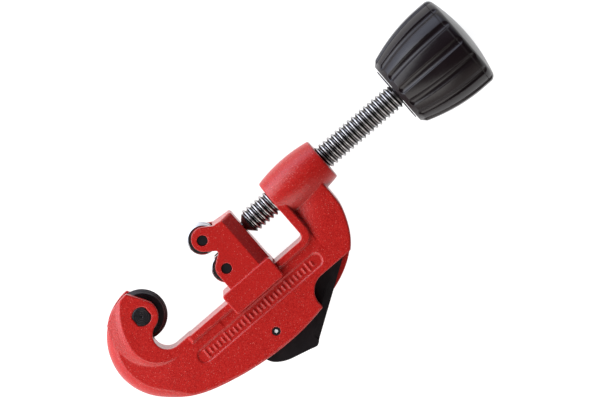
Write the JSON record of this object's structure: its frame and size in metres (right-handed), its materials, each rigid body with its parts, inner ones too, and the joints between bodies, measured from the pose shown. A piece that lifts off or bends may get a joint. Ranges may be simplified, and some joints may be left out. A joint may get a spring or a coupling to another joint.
{
  "type": "pipe cutter",
  "caption": "Hand pipe cutter: C-shaped cast frame with a cutter wheel, a roller slide fed by a fluted screw knob, and a folding reamer in the heel.",
  "frame": {"origin": "centre of the cutter wheel, half way through the frame's thickness", "axes": "+X along the feed screw from the cutter wheel to the knob, +Y out of the open throat, +Z through the thickness and parallel to the pipe's axis, so the tool lies on its side"},
  "size_m": [0.1836, 0.0719, 0.039],
  "materials": {
    "red_casting": "fine textured powder coat",
    "black_plastic": "satin moulded",
    "screw_steel": "dark, bright on the crests",
    "black_steel": "black oxide",
    "roller_steel": "ground and oiled",
    "bright_steel": "bright",
    "rubber": "matt"
  },
  "bodies": {
    "frame_body": {"frame": "red_casting", "cutter_axle": "black_steel", "cutter_axle_clip": "bright_steel", "reamer_pin": "black_steel", "reamer_core_pin": "bright_steel", "reamer_washer_front": "bright_steel", "reamer_washer_rear": "bright_steel"},
    "wheel_body": {"cutter_wheel": "black_steel"},
    "carriage_body": {"carriage": "red_casting", "upper_roller_pin": "black_steel", "lower_roller_pin": "black_steel", "thrust_ball": "bright_steel", "screw_retaining_ring": "bright_steel"},
    "upper_roller_body": {"upper_roller": "roller_steel"},
    "lower_roller_body": {"lower_roller": "roller_steel"},
    "screw_body": {"feed_screw": "screw_steel", "knob_washer": "black_steel", "knob": "black_plastic", "knob_insert": "bright_steel", "knob_nut_washer": "bright_steel", "knob_nut": "bright_steel"},
    "cap_body": {"knob_cap": "black_plastic", "spare_cutter_wheel": "black_steel", "spare_wheel_retainer": "rubber"},
    "reamer_body": {"reamer_blade": "black_steel"}
  },
  "joints": [
    {"name": "wheel_spin", "type": "hinge", "parent": "frame_body", "child": "wheel_body", "pos_m": [0, 0, 0], "axis": [0, 0, 1], "continuous": true},
    {"name": "carriage_slide", "type": "slide", "parent": "frame_body", "child": "carriage_body", "axis": [1, 0, 0], "range_m": [-0.024, 0.013]},
    {"name": "screw_turn", "type": "hinge", "parent": "carriage_body", "child": "screw_body", "pos_m": [0.0515, 0, 0], "axis": [1, 0, 0], "range_deg": [-4321, 2341]},
    {"name": "upper_roller_spin", "type": "hinge", "parent": "carriage_body", "child": "upper_roller_body", "pos_m": [0.0363, 0.00695, 0], "axis": [0, 0, 1], "continuous": true},
    {"name": "lower_roller_spin", "type": "hinge", "parent": "carriage_body", "child": "lower_roller_body", "pos_m": [0.0363, -0.00695, 0], "axis": [0, 0, 1], "continuous": true},
    {"name": "cap_pull", "type": "slide", "parent": "screw_body", "child": "cap_body", "axis": [1, 0, 0], "range_m": [0, 0.008]},
    {"name": "reamer_fold", "type": "hinge", "parent": "frame_body", "child": "reamer_body", "pos_m": [0.0347, -0.0374, 0], "axis": [0, 0, -1], "range_deg": [0, 110]}
  ],
  "couplings": [
    {"joint": "screw_turn", "follows": "carriage_slide", "rad_per_m": 3141.6}
  ]
}
